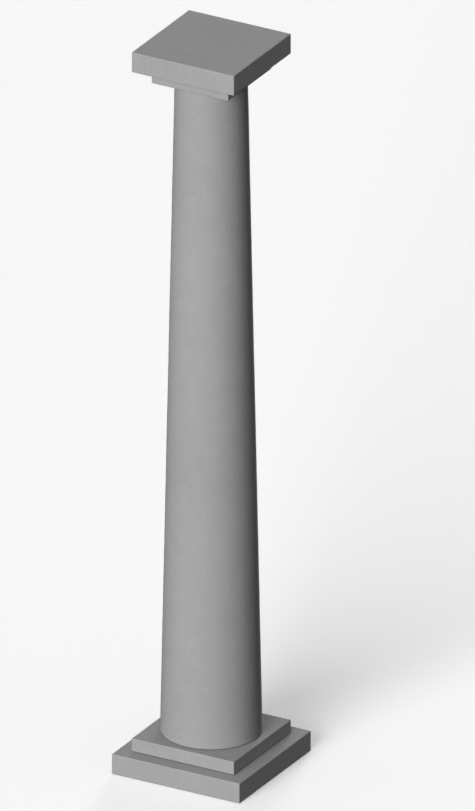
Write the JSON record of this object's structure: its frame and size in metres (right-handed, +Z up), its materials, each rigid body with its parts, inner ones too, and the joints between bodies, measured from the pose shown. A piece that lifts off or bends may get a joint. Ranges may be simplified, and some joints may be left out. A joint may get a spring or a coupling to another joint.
{
  "type": "conical column",
  "caption": "Free-standing round column with straight tapered sides, standing on a stepped square base and carrying a stepped square cap, in smooth grey cast stone.",
  "frame": {"origin": "middle of the plinth's underside, on the column's axis, at floor level", "axes": "+Z up along the column's axis; X and Y square to the sides of the plinth and the cap"},
  "size_m": [0.5, 0.5, 2.7],
  "materials": {
    "plinth": "smooth grey cast stone, matt",
    "base_step": "smooth grey cast stone, matt",
    "shaft": "smooth grey cast stone, matt",
    "neck_slab": "smooth grey cast stone, matt",
    "abacus": "smooth grey cast stone, matt"
  },
  "bodies": {
    "root": {"plinth": "plinth", "base_step": "base_step", "shaft": "shaft", "neck_slab": "neck_slab", "abacus": "abacus"}
  },
  "joints": []
}
